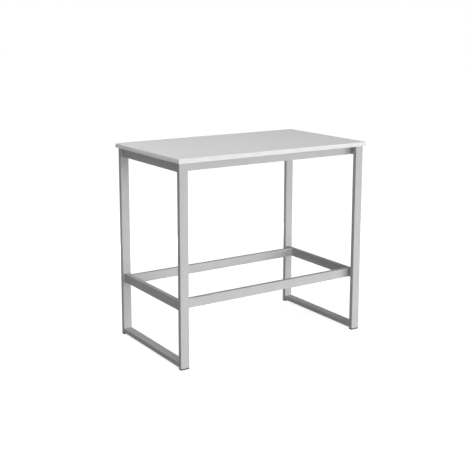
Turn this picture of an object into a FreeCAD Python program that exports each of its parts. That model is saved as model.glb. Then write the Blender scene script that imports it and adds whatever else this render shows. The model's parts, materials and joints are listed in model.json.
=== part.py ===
import FreeCAD, Part
import os

# A standing-height meeting table: a board worktop on two welded end frames that are
# joined by four long rails. Millimetres. The origin is on the floor under the middle
# of the worktop, +X runs along the table, +Y to its back and +Z up.
# Left is -X, right is +X, front is -Y and back is +Y.

# Whole table
table_length = 1200.0
table_depth = 700.0
table_height = 1090.0

# Worktop: a board with a plastic band glued round its edge
board_thickness = 24.0
band_thickness = 2.0
band_radius = 1.2
overhang_end = 10.0
overhang_side = 15.0

# Rectangular steel tube that the whole frame is made of
tube_wide = 50.0
tube_narrow = 25.0
tube_wall = 2.0
tube_corner_radius = 3.0

# Rails
foot_rail_bottom = 305.0
base_rail_bottom = 10.0
rail_setback = 25.0

# Feet: plastic inserts with a flange under the tube and a ribbed plug inside it
foot_flange_height = 7.0
foot_plug_height = 22.0
foot_plug_clearance = 0.2
foot_rib_depth = 1.5
foot_rib_height = 2.0
foot_rib_count = 4
foot_bottom_radius = 1.0

# Spigots: short pieces of tube welded to the cross rails, inside the ends of the long rails
spigot_length = 60.0
spigot_clearance = 0.4
spigot_wall = 3.0
lock_screw_inset = 35.0
lock_screw_diameter = 6.0
lock_screw_length = 12.0
lock_head_diameter = 10.5
lock_head_height = 3.3
lock_socket_diameter = 4.0
lock_socket_depth = 2.0
lock_hole_clearance = 0.3

# Lugs that hold the worktop: small plates welded to the top rails, flush with their top
lug_length = 34.0
lug_reach = 24.0
lug_thickness = 3.0
lug_corner_radius = 6.0
lugs_per_long_rail = 3
lugs_per_cross_rail = 2
top_screw_diameter = 4.0
top_screw_length = 18.0
top_head_diameter = 8.0
top_head_height = 2.6
top_slot_width = 1.2
top_slot_depth = 1.2
lug_hole_clearance = 0.5
pilot_clearance = 0.05
pilot_extra_depth = 1.0

# Places that follow from the sizes above
board_underside = table_height - board_thickness
leg_outer_x = table_length / 2 - overhang_end
leg_outer_y = table_depth / 2 - overhang_side
leg_inner_y = leg_outer_y - tube_narrow
leg_middle_x = leg_outer_x - tube_wide / 2
cross_inner_x = leg_middle_x - tube_narrow / 2
long_outer_y = leg_inner_y - rail_setback
long_inner_y = long_outer_y - tube_narrow
top_rail_bottom = board_underside - tube_wide
tube_inner_radius = max(tube_corner_radius - tube_wall, 0.2 * tube_wall)
eased_radius = min(band_radius, 0.9 * band_thickness)

X = FreeCAD.Vector(1, 0, 0)
Y = FreeCAD.Vector(0, 1, 0)
Z = FreeCAD.Vector(0, 0, 1)
SIDES_X = {"left": -1, "right": 1}
SIDES_Y = {"front": -1, "back": 1}


def save(name, shape):
    """Write one sub-part to its own file."""
    shape.exportStep("parts/" + name + ".step")


def block(low, high):
    """A plain box between two corners, given in any order."""
    lows = [min(a, b) for a, b in zip(low, high)]
    highs = [max(a, b) for a, b in zip(low, high)]
    size = [b - a for a, b in zip(lows, highs)]
    return Part.makeBox(size[0], size[1], size[2], FreeCAD.Vector(*lows))


def edges_along(shape, axis):
    """The straight edges of a shape that run along an axis."""
    found = []
    for edge in shape.Edges:
        start = edge.Vertexes[0].Point
        end = edge.Vertexes[-1].Point
        run = end - start
        if run.Length > 0 and abs(run.dot(axis)) > 0.999 * run.Length:
            found.append(edge)
    return found


def rounded_block(low, high, axis, radius):
    """A box whose four edges along one axis are rounded."""
    shape = block(low, high)
    return shape.makeFillet(radius, edges_along(shape, axis))


def inset(low, high, axis, amount):
    """Two corners moved inwards by an amount, but not along the axis."""
    step = [0 if part else amount for part in (axis.x, axis.y, axis.z)]
    lows = [min(a, b) + s for a, b, s in zip(low, high, step)]
    highs = [max(a, b) - s for a, b, s in zip(low, high, step)]
    return lows, highs


def tube(low, high, axis, wall=tube_wall, clearance=0.0):
    """Rectangular tube along an axis, open at both ends."""
    outer_low, outer_high = inset(low, high, axis, clearance)
    inner_low, inner_high = inset(outer_low, outer_high, axis, wall)
    outer = rounded_block(outer_low, outer_high, axis, tube_corner_radius)
    bore = rounded_block(inner_low, inner_high, axis, tube_inner_radius)
    return outer.cut(bore)


def rod(base, diameter, height, axis=Z):
    """A round rod from a point along an axis."""
    return Part.makeCylinder(diameter / 2, height, FreeCAD.Vector(*base), axis)


# Legs and feet

def leg(side_x, side_y):
    """Upright tube from the foot to the underside of the board, wide side to the front."""
    low = (side_x * leg_outer_x, side_y * leg_outer_y, foot_flange_height)
    high = (side_x * (leg_outer_x - tube_wide), side_y * leg_inner_y, board_underside)
    return tube(low, high, Z)


def foot(side_x, side_y):
    """Insert whose flange carries the leg and whose ribbed plug grips inside the tube."""
    low = (side_x * leg_outer_x, side_y * leg_outer_y, 0)
    high = (side_x * (leg_outer_x - tube_wide), side_y * leg_inner_y, foot_flange_height)
    flange = rounded_block(low, high, Z, tube_corner_radius)
    ground_edges = [e for e in flange.Edges if e.BoundBox.ZMax < foot_flange_height / 10]
    flange = flange.makeFillet(foot_bottom_radius, ground_edges)

    rib_low, rib_high = inset(low, high, Z, tube_wall + foot_plug_clearance)
    core_low, core_high = inset(rib_low, rib_high, Z, foot_rib_depth)
    plug_top = foot_flange_height + foot_plug_height
    core_low[2] = rib_low[2] = foot_flange_height
    core_high[2] = plug_top
    pieces = [rounded_block(core_low, core_high, Z, tube_inner_radius)]
    pitch = foot_plug_height / foot_rib_count
    for index in range(foot_rib_count):
        rib_low[2] = foot_flange_height + pitch * (index + 1) - foot_rib_height
        rib_high[2] = rib_low[2] + foot_rib_height
        pieces.append(rounded_block(rib_low, rib_high, Z, tube_inner_radius))
    return flange.multiFuse(pieces).removeSplitter()


# Rails of the end frames, from leg to leg

def upright_cross_rail(side_x, bottom):
    """Cross rail with its wide side upright, in the middle of the legs' width."""
    low = (side_x * cross_inner_x, -leg_inner_y, bottom)
    high = (side_x * (cross_inner_x + tube_narrow), leg_inner_y, bottom + tube_wide)
    return tube(low, high, Y)


def flat_cross_rail(side_x, bottom):
    """Cross rail that lies flat, as wide as the legs."""
    low = (side_x * leg_outer_x, -leg_inner_y, bottom)
    high = (side_x * (leg_outer_x - tube_wide), leg_inner_y, bottom + tube_narrow)
    return tube(low, high, Y)


# Long rails with their spigots and lock screws

def lock_screw_x(side_x):
    return side_x * (cross_inner_x - lock_screw_inset)


def long_rail_middle_y(side_y):
    return side_y * (long_outer_y + long_inner_y) / 2


def long_rail(side_y, bottom):
    """Rail from end frame to end frame, with a hole near each end for its lock screw."""
    low = (-cross_inner_x, side_y * long_outer_y, bottom)
    high = (cross_inner_x, side_y * long_inner_y, bottom + tube_wide)
    rail = tube(low, high, X)
    for side_x in SIDES_X.values():
        base = (lock_screw_x(side_x), long_rail_middle_y(side_y), bottom - tube_wall)
        rail = rail.cut(rod(base, lock_screw_diameter + 2 * lock_hole_clearance, 3 * tube_wall))
    return rail


def spigot(side_x, side_y, bottom):
    """Short tube inside the end of a long rail, tapped in its lower wall."""
    low = (side_x * cross_inner_x, side_y * long_outer_y, bottom)
    high = (side_x * (cross_inner_x - spigot_length), side_y * long_inner_y, bottom + tube_wide)
    shape = tube(low, high, X, spigot_wall, tube_wall + spigot_clearance)
    base = (lock_screw_x(side_x), long_rail_middle_y(side_y), bottom + tube_wall / 2)
    hole_height = tube_wall + spigot_clearance + spigot_wall
    return shape.cut(rod(base, lock_screw_diameter + 2 * pilot_clearance, hole_height))


def lock_screw(side_x, side_y, bottom):
    """Button-head screw with a hexagon socket, head under the long rail."""
    x = lock_screw_x(side_x)
    y = long_rail_middle_y(side_y)
    shank = rod((x, y, bottom), lock_screw_diameter, lock_screw_length)
    head = rod((x, y, bottom - lock_head_height), lock_head_diameter, lock_head_height)
    rim = [e for e in head.Edges if e.BoundBox.ZMax < bottom - 0.9 * lock_head_height]
    head = head.makeFillet(0.45 * lock_head_height, rim)
    socket = hexagon_prism((x, y, bottom - lock_head_height), lock_socket_diameter, lock_socket_depth)
    return shank.fuse(head).removeSplitter().cut(socket)


def hexagon_prism(base, across_flats, height):
    """Upright hexagonal prism that stands on a point."""
    corner_radius = across_flats / 3 ** 0.5
    centre = FreeCAD.Vector(*base)
    first = FreeCAD.Vector(corner_radius, 0, 0)
    turns = [FreeCAD.Rotation(Z, 60 * step) for step in range(7)]
    corners = [centre + turn.multVec(first) for turn in turns]
    return Part.Face(Part.makePolygon(corners)).extrude(Z * height)


# Lugs and the screws that hold the worktop

def lug_places():
    """Where each lug's screw goes, and the way from the rail to the middle of the table."""
    places = []
    reach = lug_reach / 2
    long_span = 2 * cross_inner_x
    for side_y in SIDES_Y.values():
        for index in range(lugs_per_long_rail):
            x = long_span * ((index + 0.5) / lugs_per_long_rail - 0.5)
            places.append((x, side_y * (long_inner_y - reach), -side_y * Y))
    cross_span = 2 * long_inner_y
    for side_x in SIDES_X.values():
        for index in range(lugs_per_cross_rail):
            y = cross_span * ((index + 0.5) / lugs_per_cross_rail - 0.5)
            places.append((side_x * (cross_inner_x - reach), y, -side_x * X))
    return places


def lug(x, y, inward):
    """Plate welded by one edge to a top rail, with a hole for one screw."""
    half_x = (lug_reach if inward.x else lug_length) / 2
    half_y = (lug_reach if inward.y else lug_length) / 2
    low = (x - half_x, y - half_y, board_underside - lug_thickness)
    high = (x + half_x, y + half_y, board_underside)
    plate = block(low, high)
    middle = FreeCAD.Vector(x, y, board_underside)
    free = [e for e in edges_along(plate, Z) if (e.CenterOfMass - middle).dot(inward) > 0]
    plate = plate.makeFillet(lug_corner_radius, free)
    hole_base = (x, y, board_underside - 2 * lug_thickness)
    hole_diameter = top_screw_diameter + 2 * lug_hole_clearance
    return plate.cut(rod(hole_base, hole_diameter, 3 * lug_thickness))


def top_screw(x, y):
    """Pan-head wood screw with a cross recess, from below through a lug into the board."""
    seat = board_underside - lug_thickness
    point_length = top_screw_diameter
    shank_length = top_screw_length - point_length
    shank = rod((x, y, seat), top_screw_diameter, shank_length)
    tip = FreeCAD.Vector(x, y, seat + shank_length)
    point = Part.makeCone(top_screw_diameter / 2, 0.2, point_length, tip, Z)
    head = rod((x, y, seat - top_head_height), top_head_diameter, top_head_height)
    rim = [e for e in head.Edges if e.BoundBox.ZMax < seat - 0.9 * top_head_height]
    head = head.makeFillet(0.4 * top_head_height, rim)
    screw = head.multiFuse([shank, point]).removeSplitter()
    arm = 0.3 * top_head_diameter
    half_slot = top_slot_width / 2
    slot_low = seat - top_head_height
    slot_high = slot_low + top_slot_depth
    screw = screw.cut(block((x - arm, y - half_slot, slot_low), (x + arm, y + half_slot, slot_high)))
    return screw.cut(block((x - half_slot, y - arm, slot_low), (x + half_slot, y + arm, slot_high)))


# Worktop

def worktop_board():
    """Board with a blind pilot hole for every screw."""
    half_x = table_length / 2 - band_thickness
    half_y = table_depth / 2 - band_thickness
    board = block((-half_x, -half_y, board_underside), (half_x, half_y, table_height))
    depth = top_screw_length - lug_thickness + pilot_extra_depth
    diameter = top_screw_diameter + 2 * pilot_clearance
    for x, y, inward in lug_places():
        board = board.cut(rod((x, y, board_underside), diameter, depth))
    return board


def outer_face(shape, outward):
    """The face of a shape that lies furthest out."""
    return max(shape.Faces, key=lambda face: face.CenterOfMass.dot(outward))


def long_band(side_y):
    """Band along the front or back over the whole length, with all its outer edges eased."""
    outer = side_y * table_depth / 2
    inner = side_y * (table_depth / 2 - band_thickness)
    band = block((-table_length / 2, outer, board_underside), (table_length / 2, inner, table_height))
    return band.makeFillet(eased_radius, outer_face(band, side_y * Y).Edges)


def end_band(side_x):
    """Band along one end between the two long bands, with its long outer edges eased."""
    half_y = table_depth / 2 - band_thickness
    outer = side_x * table_length / 2
    inner = side_x * (table_length / 2 - band_thickness)
    band = block((outer, -half_y, board_underside), (inner, half_y, table_height))
    return band.makeFillet(eased_radius, edges_along(outer_face(band, side_x * X), Y))


os.makedirs("parts", exist_ok=True)

save("worktop_board", worktop_board())
for name_y, side_y in SIDES_Y.items():
    save("edge_band_" + name_y, long_band(side_y))
for name_x, side_x in SIDES_X.items():
    save("edge_band_" + name_x, end_band(side_x))

for name_x, side_x in SIDES_X.items():
    for name_y, side_y in SIDES_Y.items():
        save("leg_" + name_y + "_" + name_x, leg(side_x, side_y))
        save("foot_" + name_y + "_" + name_x, foot(side_x, side_y))
    save("top_cross_rail_" + name_x, upright_cross_rail(side_x, top_rail_bottom))
    save("foot_cross_rail_" + name_x, upright_cross_rail(side_x, foot_rail_bottom))
    save("base_cross_rail_" + name_x, flat_cross_rail(side_x, base_rail_bottom))

lock_screws = []
for level, bottom in {"top": top_rail_bottom, "foot": foot_rail_bottom}.items():
    for name_y, side_y in SIDES_Y.items():
        save(level + "_rail_" + name_y, long_rail(side_y, bottom))
        for name_x, side_x in SIDES_X.items():
            name = "spigot_" + level + "_" + name_y + "_" + name_x
            save(name, spigot(side_x, side_y, bottom))
            lock_screws.append(lock_screw(side_x, side_y, bottom))
save("rail_lock_screws", Part.makeCompound(lock_screws))

top_screws = []
for number, (x, y, inward) in enumerate(lug_places(), start=1):
    save("fixing_lug_" + str(number), lug(x, y, inward))
    top_screws.append(top_screw(x, y))
save("worktop_screws", Part.makeCompound(top_screws))
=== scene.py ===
import json
import math

import bmesh
import bpy
from mathutils import Matrix, Vector, noise


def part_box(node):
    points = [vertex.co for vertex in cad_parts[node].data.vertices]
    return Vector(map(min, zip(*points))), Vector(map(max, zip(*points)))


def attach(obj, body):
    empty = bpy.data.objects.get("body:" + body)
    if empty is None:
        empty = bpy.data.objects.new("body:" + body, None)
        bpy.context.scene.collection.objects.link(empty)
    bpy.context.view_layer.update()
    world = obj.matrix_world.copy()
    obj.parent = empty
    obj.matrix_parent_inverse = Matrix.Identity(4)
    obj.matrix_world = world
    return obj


# A standing meeting table: a white laminate worktop on a welded frame of silver tube.
# Metres. +X runs along the table, +Y to its back and +Z up, as in the frame.

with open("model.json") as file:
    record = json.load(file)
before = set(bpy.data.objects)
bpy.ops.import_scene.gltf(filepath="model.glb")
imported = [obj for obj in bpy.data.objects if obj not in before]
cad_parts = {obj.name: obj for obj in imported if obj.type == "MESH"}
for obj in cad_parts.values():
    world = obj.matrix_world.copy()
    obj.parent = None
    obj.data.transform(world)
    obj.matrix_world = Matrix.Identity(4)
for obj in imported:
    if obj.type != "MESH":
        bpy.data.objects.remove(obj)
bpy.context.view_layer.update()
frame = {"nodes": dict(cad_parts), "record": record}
nodes = frame["nodes"]
MM = 0.001

# Corner radius of the tube's section, which the welds follow
TUBE_CORNER = 3.0 * MM

# Fillet welds: their legs, the swell of their faces and how deep they reach into the tube,
# then how far they stay below the worktop and from the ends of a lug
FILLET_SIZE = 3.0 * MM
BASE_FILLET_SIZE = 2.5 * MM
FILLET_SWELL = 0.07
WELD_ROOT = 0.4 * MM
WELD_TOP_GAP = 2.0 * MM
LUG_WELD_INSET = 3.0 * MM

# Dressed welds: round beads sunk into the flush sides of the base rails
GROOVE_INSET = 1.1 * MM
GROOVE_RADIUS = 1.7 * MM
GROOVE_END = 0.7 * MM

# How even a bead is: ripples along it, slower waves by hand, and ends that taper off
RIPPLE_PITCH = 2.4 * MM
RIPPLE_SHARE = 0.05
DRIFT_SCALE = 90.0
DRIFT_SHARE = 0.12
TAPER_STEPS = 4
TAPER_START = 0.45

# How finely the beads are meshed
WELD_STEP = 0.6 * MM
ARC_PARTS = 6
FILLET_PARTS = 4
ROUND_PARTS = 10

# Materials: tones are linear, scales are repeats in a metre and bump heights are in metres.
# A noise texture has most of its values in NOISE_SPAN.
NOISE_SPAN = (0.3, 0.7)
SOFT_BUMP = 0.5
CRISP_BUMP = 0.6

# Silver powder coat
PAINT_TONE = 0.54
PAINT_ROUGHNESS = (0.37, 0.43)
PAINT_IOR = 1.16
FLAKE_SCALE = 2600.0
FLAKE_CONTRAST = 0.035
PAINT_CLOUD_SCALE = 14.0
PAINT_CLOUD_SPAN = (0.35, 0.65)
PAINT_CLOUD_TONES = (0.97, 1.0)
PEEL_SCALE = 420.0
PEEL_HEIGHT = 0.03 * MM
GRIT_SCALE = 2400.0
GRIT_HEIGHT = 0.006 * MM

# White laminate, with its tones as shares of WHITE_TONE, and its glue line against the edging
WHITE_TONE = 0.78
LAMINATE_SHARES = (0.985, 1.01)
LAMINATE_ROUGHNESS = (0.6, 0.68)
LAMINATE_IOR = 1.45
SPECKLE_SCALE = 900.0
PEARL_SCALE = 700.0
PEARL_HEIGHT = 0.04 * MM
GLUE_LINE = 0.25 * MM
GLUE_TONE = 0.8

# White edging, with its tones as shares of WHITE_TONE
EDGING_SHARES = (0.985, 1.005)
EDGING_ROUGHNESS = (0.42, 0.52)
EDGING_IOR = 1.4
EDGING_SPECKLE_SCALE = 1200.0
TRIM_MARK_SCALE = 160.0
TRIM_MARK_STRETCH = (1.0, 1.0, 12.0)
TRIM_MARK_HEIGHT = 0.01 * MM

# Black plastic
BLACK_TONES = (0.012, 0.022)
BLACK_ROUGHNESS = (0.55, 0.7)
BLACK_IOR = 1.3
GRAIN_SCALE = 1500.0
GRAIN_HEIGHT = 0.03 * MM

# Zinc plate
ZINC_DARK = (0.56, 0.58, 0.6, 1.0)
ZINC_LIGHT = (0.68, 0.68, 0.66, 1.0)
ZINC_ROUGHNESS = (0.2, 0.42)
ZINC_CLOUD_SCALE = 300.0

# Camera: angles in degrees, lens and sensor in millimetres
CAMERA_PLACE = (-2.7517, -4.1190, 1.7616)
CAMERA_YAW = 33.256
CAMERA_PITCH = 10.269
CAMERA_ROLL = 0.086
CAMERA_LENS = 69.54
CAMERA_SENSOR = 36.0
CAMERA_SHIFT_Y = -0.11
CAMERA_CLIP = (0.05, 200.0)

# Studio: the floor turns from faintly shaded to plain white between two distances
FLOOR_RADIUS = 40.0
FLOOR_SIDES = 96
FLOOR_ALBEDO = 0.52
FLOOR_GLOW = 0.85
SHADOW_REACH = 0.9
WHITE_REACH = 3.0
BACKGROUND_WHITE = 1.0
WORLD_GREY = 0.02

# Spread, in degrees, of a lamp whose light isn't kept in a beam
OPEN_BEAM = 180.0

# Soft lamps: name, place, target, width, height, watts, spread of the beam in degrees.
# Three have one task each: under_fill lights the fronts of the back legs and rails,
# edge_strip the left edge of the worktop, and back_far the back of the table.
LAMPS = (
    ("front_far", (0.0, -18.0, 2.0), (0.0, 0.0, 0.6), 16.0, 4.0, 860.0, OPEN_BEAM),
    ("front_right_far", (24.0, -28.0, 5.3), (0.0, 0.0, 0.7), 16.0, 10.0, 5400.0, OPEN_BEAM),
    ("front_high", (0.5, -6.5, 5.5), (0.0, 0.0, 0.7), 5.0, 3.0, 110.0, OPEN_BEAM),
    ("front_floor", (0.2, -2.6, 0.12), (0.0, 0.0, 0.5), 4.0, 0.2, 15.0, OPEN_BEAM),
    ("right_floor", (2.4, 0.2, 0.12), (0.0, 0.0, 0.6), 2.4, 0.2, 12.0, OPEN_BEAM),
    ("back_floor", (0.3, 2.2, 0.12), (0.2, 0.0, 0.6), 3.5, 0.2, 16.0, OPEN_BEAM),
    ("overhead", (-0.6, 0.0, 4.5), (0.0, 0.0, 1.0), 1.7, 1.7, 57.0, OPEN_BEAM),
    ("upper_left", (-2.6, 0.0, 3.0), (0.0, 0.0, 0.9), 2.0, 2.0, 12.0, OPEN_BEAM),
    ("floor_front", (0.6, -2.6, 1.6), (0.4, -1.2, 0.0), 3.0, 0.8, 2.0, 70.0),
    ("under_fill", (0.0, -0.1, 0.5), (0.0, 0.3, 0.52), 0.95, 0.5, 0.45, 120.0),
    ("edge_strip", (-0.72, 0.0, 1.105), (-0.6, 0.0, 1.105), 0.8, 0.02, 0.042, 40.0),
    ("back_far", (0.0, 18.0, 2.0), (0.0, 0.0, 0.6), 16.0, 4.0, 250.0, OPEN_BEAM),
)


# Helpers for objects and nodes

def new_object(name, data):
    """An object that is part of the scene."""
    item = bpy.data.objects.new(name, data)
    bpy.context.scene.collection.objects.link(item)
    return item


def new_material(name):
    """A material with an empty node tree."""
    material = bpy.data.materials.new(name)
    material.use_nodes = True
    material.node_tree.nodes.clear()
    return material, material.node_tree


def add_node(tree, kind, inputs=None, **settings):
    """A node with its settings and the values or links of its inputs."""
    node = tree.nodes.new(kind)
    for key, value in settings.items():
        setattr(node, key, value)
    for key, value in (inputs or {}).items():
        if isinstance(value, bpy.types.NodeSocket):
            tree.links.new(value, node.inputs[key])
        else:
            node.inputs[key].default_value = value
    return node


def grey(tone):
    return (tone, tone, tone, 1.0)


def calculate(tree, operation, *values):
    """The result of a Math node."""
    node = add_node(tree, "ShaderNodeMath", dict(enumerate(values)), operation=operation)
    return node.outputs[0]


def mapped(tree, value, target, source=(0.0, 1.0), **settings):
    """A value carried over from one range to another, and held at the ends."""
    inputs = {
        "Value": value,
        "From Min": source[0],
        "From Max": source[1],
        "To Min": target[0],
        "To Max": target[1],
    }
    return add_node(tree, "ShaderNodeMapRange", inputs, **settings).outputs["Result"]


def ramp(tree, factor, span, colours):
    """A blend of two colours, over a span of the factor."""
    node = add_node(tree, "ShaderNodeValToRGB", {"Fac": factor})
    for element, place, colour in zip(node.color_ramp.elements, span, colours):
        element.position = place
        element.color = colour
    return node.outputs["Color"]


def multiplied(tree, one, other):
    """Two colours multiplied."""
    # The node has sockets of the same names for other kinds of value: 6, 7 and 2 are the colours
    inputs = {"Factor": 1.0, 6: one, 7: other}
    node = add_node(tree, "ShaderNodeMix", inputs, data_type="RGBA", blend_type="MULTIPLY")
    return node.outputs[2]


def texture_space(tree):
    return add_node(tree, "ShaderNodeTexCoord").outputs["Object"]


def noise_value(tree, space, scale, detail=2.0, roughness=0.5):
    inputs = {"Vector": space, "Scale": scale, "Detail": detail, "Roughness": roughness}
    return add_node(tree, "ShaderNodeTexNoise", inputs).outputs["Fac"]


def cells(tree, space, scale):
    """A texture of small cells, each with a colour and a distance from its middle."""
    return add_node(tree, "ShaderNodeTexVoronoi", {"Vector": space, "Scale": scale}).outputs


def bump(tree, height, distance, strength, below=None):
    """The normal of a bumped surface, which can lie over the bumps of another one."""
    inputs = {"Height": height, "Distance": distance, "Strength": strength}
    if below is not None:
        inputs["Normal"] = below
    return add_node(tree, "ShaderNodeBump", inputs).outputs["Normal"]


def finish_with(tree, inputs):
    """A principled shader with these inputs, as the surface of a material."""
    shader = add_node(tree, "ShaderNodeBsdfPrincipled", inputs)
    add_node(tree, "ShaderNodeOutputMaterial", {"Surface": shader.outputs["BSDF"]})


# Materials

def silver_paint():
    """Satin silver powder coat: fine metal flake under a skin with slight orange peel."""
    material, tree = new_material("silver_powder_coat")
    space = texture_space(tree)
    flakes = cells(tree, space, FLAKE_SCALE)["Color"]
    flake_tones = (grey(PAINT_TONE - FLAKE_CONTRAST), grey(PAINT_TONE + FLAKE_CONTRAST))
    flake_colour = ramp(tree, flakes, (0.0, 1.0), flake_tones)
    cloud = noise_value(tree, space, PAINT_CLOUD_SCALE, detail=3.0)
    cloud_colour = ramp(tree, cloud, PAINT_CLOUD_SPAN, map(grey, PAINT_CLOUD_TONES))
    peel = noise_value(tree, space, PEEL_SCALE, detail=1.0)
    grit = noise_value(tree, space, GRIT_SCALE)
    skin = bump(tree, peel, PEEL_HEIGHT, SOFT_BUMP)
    finish_with(
        tree,
        {
            "Base Color": multiplied(tree, flake_colour, cloud_colour),
            "Roughness": mapped(tree, cloud, PAINT_ROUGHNESS),
            "IOR": PAINT_IOR,
            "Normal": bump(tree, grit, GRIT_HEIGHT, SOFT_BUMP, below=skin),
        },
    )
    return material


def border_distance(tree, space, reach_x, reach_y):
    """How far a point lies inside the border of a board that is centred on the origin."""
    parts = add_node(tree, "ShaderNodeSeparateXYZ", {"Vector": space}).outputs
    gap_x = calculate(tree, "SUBTRACT", reach_x, calculate(tree, "ABSOLUTE", parts["X"]))
    gap_y = calculate(tree, "SUBTRACT", reach_y, calculate(tree, "ABSOLUTE", parts["Y"]))
    return calculate(tree, "MINIMUM", gap_x, gap_y)


def laminate():
    """White melamine facing: a fine pearl texture, and a thin glue line along the edging."""
    material, tree = new_material("white_laminate")
    space = texture_space(tree)
    speckle = noise_value(tree, space, SPECKLE_SCALE, detail=3.0, roughness=0.6)
    tones = [grey(WHITE_TONE * share) for share in LAMINATE_SHARES]
    facing = ramp(tree, speckle, NOISE_SPAN, tones)
    reach_x, reach_y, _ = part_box("worktop_board")[1]
    border = border_distance(tree, space, reach_x, reach_y)
    glue = mapped(tree, border, (GLUE_TONE, 1.0), (0.0, GLUE_LINE))
    pearls = cells(tree, space, PEARL_SCALE)["Distance"]
    finish_with(
        tree,
        {
            "Base Color": multiplied(tree, facing, glue),
            "Roughness": mapped(tree, speckle, LAMINATE_ROUGHNESS),
            "IOR": LAMINATE_IOR,
            "Normal": bump(tree, pearls, PEARL_HEIGHT, CRISP_BUMP),
        },
    )
    return material


def edging():
    """White plastic band: smoother than the laminate, with faint marks of its trimming."""
    material, tree = new_material("white_edging")
    space = texture_space(tree)
    speckle = noise_value(tree, space, EDGING_SPECKLE_SCALE)
    tones = [grey(WHITE_TONE * share) for share in EDGING_SHARES]
    along_band = add_node(
        tree, "ShaderNodeVectorMath", {0: space, 1: TRIM_MARK_STRETCH}, operation="MULTIPLY"
    ).outputs[0]
    marks = noise_value(tree, along_band, TRIM_MARK_SCALE)
    finish_with(
        tree,
        {
            "Base Color": ramp(tree, speckle, NOISE_SPAN, tones),
            "Roughness": mapped(tree, marks, EDGING_ROUGHNESS),
            "IOR": EDGING_IOR,
            "Normal": bump(tree, marks, TRIM_MARK_HEIGHT, SOFT_BUMP),
        },
    )
    return material


def black_plastic():
    """Moulded black plastic with a fine spark-eroded grain."""
    material, tree = new_material("black_plastic")
    grain = noise_value(tree, texture_space(tree), GRAIN_SCALE)
    finish_with(
        tree,
        {
            "Base Color": ramp(tree, grain, NOISE_SPAN, map(grey, BLACK_TONES)),
            "Roughness": mapped(tree, grain, BLACK_ROUGHNESS),
            "IOR": BLACK_IOR,
            "Normal": bump(tree, grain, GRAIN_HEIGHT, CRISP_BUMP),
        },
    )
    return material


def zinc_plate():
    """Bright zinc plate with a cloudy, slightly bluish sheen."""
    material, tree = new_material("zinc_plate")
    cloud = noise_value(tree, texture_space(tree), ZINC_CLOUD_SCALE, detail=3.0)
    finish_with(
        tree,
        {
            "Base Color": ramp(tree, cloud, NOISE_SPAN, (ZINC_DARK, ZINC_LIGHT)),
            "Metallic": 1.0,
            "Roughness": mapped(tree, cloud, ZINC_ROUGHNESS),
        },
    )
    return material


MATERIALS = {
    "worktop": laminate(),
    "edging": edging(),
    "frame": silver_paint(),
    "foot_plastic": black_plastic(),
    "zinc": zinc_plate(),
}
slots = {row["node"]: row["material_slot"] for row in frame["record"]["subparts"]}
for name, node in nodes.items():
    node.data.materials.clear()
    node.data.materials.append(MATERIALS[slots[name]])


# Welds

def box_corners(node):
    """The lowest and the highest corner of a node's box."""
    low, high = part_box(node)
    return Vector(low), Vector(high)


def section_outline(half_x, half_z):
    """The outline of a tube's section in X and Z, clockwise from the middle of its top."""
    points = [Vector((0, 0, half_z))]
    quarters = ((1, 1, 90), (1, -1, 0), (-1, -1, -90), (-1, 1, -180))
    for sign_x, sign_z, first_angle in quarters:
        middle = Vector((sign_x * (half_x - TUBE_CORNER), 0, sign_z * (half_z - TUBE_CORNER)))
        for part in range(ARC_PARTS + 1):
            angle = math.radians(first_angle - 90 * part / ARC_PARTS)
            points.append(middle + TUBE_CORNER * Vector((math.cos(angle), 0, math.sin(angle))))
    points.append(points[0])
    return points


def even_points(corners):
    """Evenly spaced points along a polyline, about a weld step apart, with its two ends."""
    lengths = [(end - start).length for start, end in zip(corners, corners[1:])]
    total = sum(lengths)
    count = max(2, round(total / WELD_STEP))
    spacing = total / count
    points = []
    index = 0
    passed = 0.0
    for number in range(count + 1):
        reach = number * spacing
        while index < len(lengths) - 1 and passed + lengths[index] < reach:
            passed += lengths[index]
            index += 1
        share = (reach - passed) / lengths[index]
        points.append(corners[index].lerp(corners[index + 1], min(share, 1.0)))
    return points


def ripple(place, travelled, size):
    """The size of a bead at one point, with its ripples and its slower waves."""
    wave = math.sin(math.tau * travelled / RIPPLE_PITCH)
    drift = noise.noise(place * DRIFT_SCALE)
    return size * (1 + RIPPLE_SHARE * wave + DRIFT_SHARE * drift)


def fillet_ring(corner, one_way, other_way, size):
    """One section of a fillet in a corner, from which its two faces run one way and the other."""
    section = [(-WELD_ROOT, -WELD_ROOT), (size, -WELD_ROOT)]
    for part in range(FILLET_PARTS + 1):
        share = part / FILLET_PARTS
        swell = FILLET_SWELL * size * math.sin(math.pi * share)
        section.append((size * (1 - share) + swell, size * share + swell))
    section.append((-WELD_ROOT, size))
    return [corner + one_way * reach + other_way * rise for reach, rise in section]


def round_ring(middle, radius):
    """One level section of an upright round bead."""
    turns = [math.tau * part / ROUND_PARTS for part in range(ROUND_PARTS)]
    return [middle + radius * Vector((math.cos(turn), math.sin(turn), 0)) for turn in turns]


def skin_rings(mesh, rings, closed):
    """Faces between sections in a row, with a face on each end of an open row."""
    rows = [[mesh.verts.new(point) for point in ring] for ring in rings]
    pairs = list(zip(rows, rows[1:]))
    if closed:
        pairs.append((rows[-1], rows[0]))
    else:
        mesh.faces.new(rows[0])
        mesh.faces.new(rows[-1])
    for row, following in pairs:
        for index in range(len(row)):
            after = (index + 1) % len(row)
            mesh.faces.new((row[index], row[after], following[after], following[index]))


def bead(mesh, points, ring_at, size, closed=False):
    """A weld bead along a row of points, tapered at its two ends when it isn't a loop."""
    if closed:
        points = points[:-1]
    rings = []
    last = len(points) - 1
    for index, point in enumerate(points):
        local = ripple(point, index * WELD_STEP, size)
        if not closed:
            steps_in = min(index, last - index, TAPER_STEPS)
            rise = math.sin(math.pi / 2 * steps_in / TAPER_STEPS)
            local *= TAPER_START + (1 - TAPER_START) * rise
        rings.append(ring_at(index, point, local))
    skin_rings(mesh, rings, closed)


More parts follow.
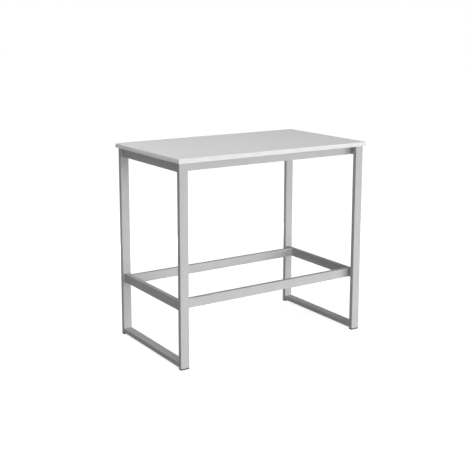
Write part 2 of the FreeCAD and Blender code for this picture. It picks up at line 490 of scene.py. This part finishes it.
def straight_fillet(mesh, ends, one_way, other_way):
    """Fillet along a straight corner between two faces."""

    def ring_at(index, point, size):
        return fillet_ring(point, one_way, other_way, size)

    bead(mesh, even_points(ends), ring_at, BASE_FILLET_SIZE)


def dressed_weld(mesh, ends):
    """Round bead along an upright line."""

    def ring_at(index, point, size):
        return round_ring(point, size)

    bead(mesh, even_points(ends), ring_at, GROOVE_RADIUS)


def section_weld(mesh, rail, side_y, open_top):
    """Fillet round the end of an upright cross rail, on the inner face of a leg."""
    low, high = box_corners(rail)
    half = (high - low) / 2
    middle = (low + high) / 2
    middle.y = side_y * high.y
    points = even_points([middle + point for point in section_outline(half.x, half.z)])
    if open_top:
        points = [point for point in points if point.z < high.z - WELD_TOP_GAP]
    inward = Vector((0, -side_y, 0))

    def ring_at(index, point, size):
        before = points[max(index - 1, 0)]
        after = points[min(index + 1, len(points) - 1)]
        outward = (after - before).normalized().cross(Vector((0, -1, 0)))
        return fillet_ring(point, outward, inward, size)

    bead(mesh, points, ring_at, FILLET_SIZE, closed=not open_top)


def flat_rail_weld(mesh, rail, side_y):
    """Fillets above and below the end of a flat rail, and dressed beads at its two sides."""
    low, high = box_corners(rail)
    face_y = side_y * high.y
    inward = Vector((0, -side_y, 0))
    for z, upward in ((high.z, Vector((0, 0, 1))), (low.z, Vector((0, 0, -1)))):
        ends = [Vector((x, face_y, z)) for x in (low.x + TUBE_CORNER, high.x - TUBE_CORNER)]
        straight_fillet(mesh, ends, upward, inward)
    sunk_y = face_y + side_y * GROOVE_INSET
    for sunk_x in (low.x + GROOVE_INSET, high.x - GROOVE_INSET):
        ends = [Vector((sunk_x, sunk_y, z)) for z in (low.z + GROOVE_END, high.z - GROOVE_END)]
        dressed_weld(mesh, ends)


def lug_weld(mesh, lug):
    """Fillet under a lug, along the face of the rail that carries it."""
    low, high = box_corners(lug)
    extent = high - low
    across = 0 if extent.x < extent.y else 1
    lengthwise = 1 - across
    root = (low + high) / 2
    side = math.copysign(1, root[across])
    root[across] = side * max(abs(low[across]), abs(high[across]))
    root.z = low.z
    away = Vector((0, 0, 0))
    away[across] = -side
    half_weld = Vector((0, 0, 0))
    half_weld[lengthwise] = extent[lengthwise] / 2 - LUG_WELD_INSET
    straight_fillet(mesh, [root - half_weld, root + half_weld], away, Vector((0, 0, -1)))


def add_welds(name, mesh):
    """Turn the finished beads of a bmesh into a painted piece that rides with the table."""
    bmesh.ops.recalc_face_normals(mesh, faces=mesh.faces)
    for face in mesh.faces:
        face.smooth = True
    data = bpy.data.meshes.new(name)
    mesh.to_mesh(data)
    mesh.free()
    data.materials.append(MATERIALS["frame"])
    piece = new_object(name, data)
    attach(piece, "root")


def end_frame_welds(end):
    """The welds between the legs and the cross rails of one end frame, as one piece."""
    mesh = bmesh.new()
    for side_y in (-1, 1):
        section_weld(mesh, "top_cross_rail_" + end, side_y, open_top=True)
        section_weld(mesh, "foot_cross_rail_" + end, side_y, open_top=False)
        flat_rail_weld(mesh, "base_cross_rail_" + end, side_y)
    add_welds("welds_" + end, mesh)


def lug_welds():
    """The welds under all the lugs, as one piece."""
    mesh = bmesh.new()
    for name in sorted(nodes):
        if name.startswith("fixing_lug_"):
            lug_weld(mesh, name)
    add_welds("lug_welds", mesh)


end_frame_welds("left")
end_frame_welds("right")
lug_welds()


# Studio

def show_background(tree, lighting, seen, output_kind):
    """One shader for the light on the table, and another where a ray sees the background."""
    path = add_node(tree, "ShaderNodeLightPath").outputs
    share = path["Is Camera Ray"]
    for ray in ("Is Glossy Ray", "Is Transmission Ray"):
        share = calculate(tree, "MAXIMUM", share, path[ray])
    mix = add_node(tree, "ShaderNodeMixShader", {0: share, 1: lighting, 2: seen})
    add_node(tree, output_kind, {"Surface": mix.outputs[0]})


def floor_paint():
    """White floor that keeps a faint shadow near the table and is plain white further out."""
    material, tree = new_material("studio_floor")
    space = texture_space(tree)
    distance = add_node(tree, "ShaderNodeVectorMath", {0: space}, operation="LENGTH")
    strength = mapped(
        tree,
        distance.outputs["Value"],
        (FLOOR_GLOW, BACKGROUND_WHITE),
        (SHADOW_REACH, WHITE_REACH),
        interpolation_type="SMOOTHSTEP",
    )
    plain = add_node(tree, "ShaderNodeBsdfDiffuse", {"Color": grey(FLOOR_ALBEDO)}).outputs[0]
    glow = add_node(tree, "ShaderNodeEmission", {"Strength": strength}).outputs[0]
    glowing = add_node(tree, "ShaderNodeAddShader", {0: plain, 1: glow}).outputs[0]
    show_background(tree, plain, glowing, "ShaderNodeOutputMaterial")
    return material


def make_floor():
    """A wide round floor. The world is as white as its rim, so no horizon shows."""
    mesh = bpy.data.meshes.new("studio_floor")
    disc = bmesh.new()
    bmesh.ops.create_circle(disc, cap_ends=True, segments=FLOOR_SIDES, radius=FLOOR_RADIUS)
    disc.to_mesh(mesh)
    disc.free()
    mesh.materials.append(floor_paint())
    floor = new_object("studio_floor", mesh)


def make_world():
    """A dim grey light from all round, with plain white to be seen behind the table."""
    world = bpy.data.worlds.new("studio")
    bpy.context.scene.world = world
    world.use_nodes = True
    tree = world.node_tree
    tree.nodes.clear()
    shaders = []
    for strength in (WORLD_GREY, BACKGROUND_WHITE):
        inputs = {"Color": grey(1.0), "Strength": strength}
        shaders.append(add_node(tree, "ShaderNodeBackground", inputs).outputs[0])
    show_background(tree, *shaders, "ShaderNodeOutputWorld")


def area_lamp(name, place, target, width, height, watts, spread):
    """A soft lamp that faces a point. A small spread keeps its light in a beam."""
    data = bpy.data.lights.new(name, "AREA")
    data.shape = "RECTANGLE"
    data.size = width
    data.size_y = height
    data.energy = watts
    data.spread = math.radians(spread)
    lamp = new_object(name, data)
    lamp.location = place
    aim = Vector(target) - Vector(place)
    lamp.rotation_euler = aim.to_track_quat("-Z", "Y").to_euler()
    lamp.visible_camera = False


def make_camera():
    data = bpy.data.cameras.new("camera")
    data.lens = CAMERA_LENS
    data.sensor_width = CAMERA_SENSOR
    data.shift_y = CAMERA_SHIFT_Y
    data.clip_start, data.clip_end = CAMERA_CLIP
    camera = new_object("camera", data)
    turn = Matrix.Rotation(math.radians(-CAMERA_YAW), 4, "Z")
    tip = Matrix.Rotation(math.radians(90 - CAMERA_PITCH), 4, "X")
    roll = Matrix.Rotation(math.radians(CAMERA_ROLL), 4, "Z")
    camera.matrix_world = Matrix.Translation(CAMERA_PLACE) @ turn @ tip @ roll
    bpy.context.scene.camera = camera


make_floor()
make_world()
for lamp in LAMPS:
    area_lamp(*lamp)
make_camera()

view_settings = bpy.context.scene.view_settings
view_settings.view_transform = "Standard"
